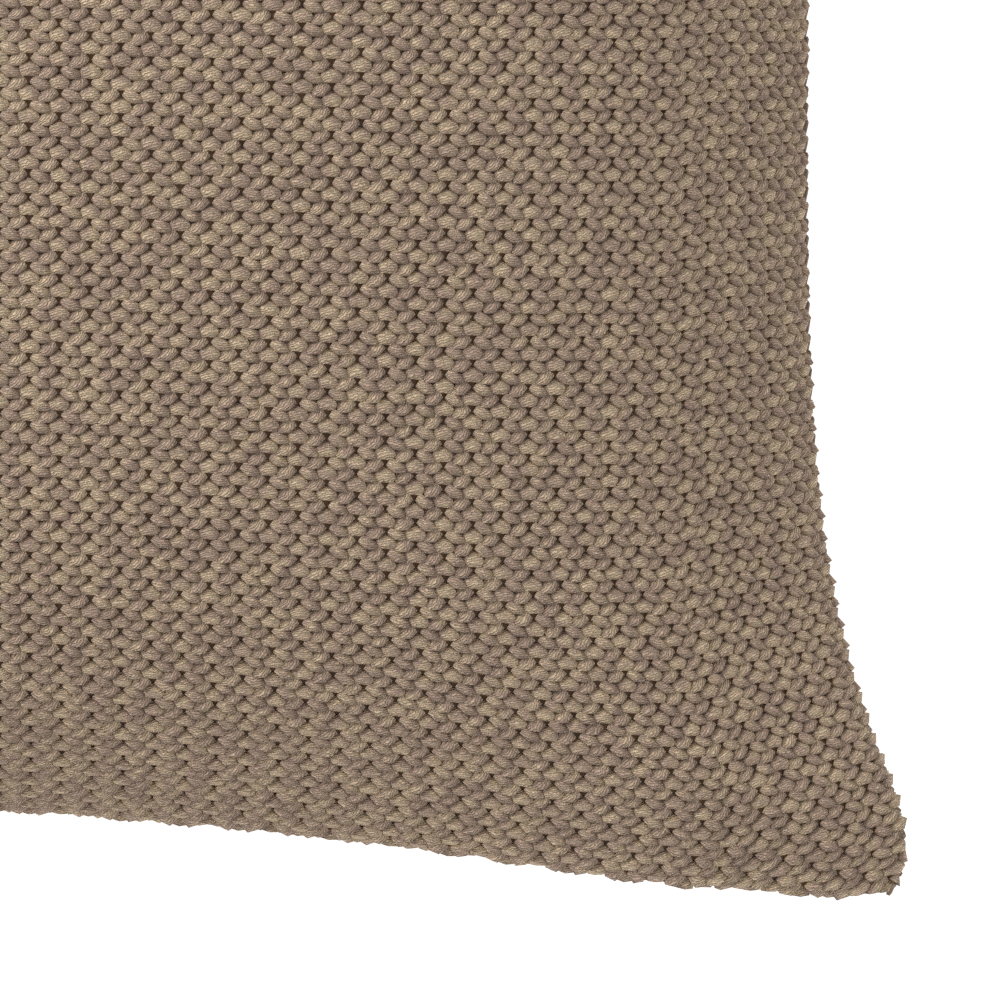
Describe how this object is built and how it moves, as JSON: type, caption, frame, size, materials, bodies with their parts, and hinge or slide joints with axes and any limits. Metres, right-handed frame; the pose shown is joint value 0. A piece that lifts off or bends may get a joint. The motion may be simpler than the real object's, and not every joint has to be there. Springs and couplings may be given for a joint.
{
  "type": "throw pillow",
  "caption": "Square throw pillow: a moss-stitch knitted cover with a concealed zip, over a stuffed insert.",
  "frame": {"origin": "middle of the flattened patch on the back panel that the pillow rests on", "axes": "+Z out of the front panel's crown, +Y towards the top seam, -Y towards the zip seam, +X towards the right seam as seen from the front"},
  "size_m": [0.483, 0.48, 0.162],
  "materials": {
    "knit": "taupe cotton yarn, moss stitch",
    "linking_yarn": "taupe cotton yarn, linked seam",
    "zip_tape": "woven polyester tape",
    "zip_coil": "nylon monofilament",
    "zip_metal": "plated zinc",
    "thread": "spun polyester sewing thread",
    "insert_cloth": "plain woven cotton",
    "filling": "loose polyester fibre",
    "label": "blank woven satin"
  },
  "bodies": {
    "pillow": {"cover_front": "knit", "cover_back": "knit", "seam_top": "linking_yarn", "seam_left": "linking_yarn", "seam_right": "linking_yarn", "seam_zip_left": "linking_yarn", "seam_zip_right": "linking_yarn", "zip_tape_front": "zip_tape", "zip_tape_back": "zip_tape", "zip_stitch_front": "thread", "zip_stitch_back": "thread", "zip_coil_front": "zip_coil", "zip_coil_back": "zip_coil", "zip_top_stop_front": "zip_metal", "zip_top_stop_back": "zip_metal", "zip_bottom_stop": "zip_metal", "insert_front": "insert_cloth", "insert_back": "insert_cloth", "insert_fill": "filling", "insert_seam": "thread", "insert_closing_seam": "thread", "care_label": "label", "label_stitch": "thread"},
    "slider": {"zip_slider": "zip_metal"},
    "pull": {"zip_pull": "zip_metal"}
  },
  "joints": [
    {"name": "zip_travel", "type": "hinge", "parent": "pillow", "child": "slider", "pos_m": [0, -1.43105, 0.078], "axis": [0, 0, -1], "range_deg": [0, 16.03]},
    {"name": "pull_flip", "type": "hinge", "parent": "slider", "child": "pull", "pos_m": [-0.16926, -0.22916, 0.078], "axis": [0, 0, -1], "range_deg": [0, 170]}
  ]
}
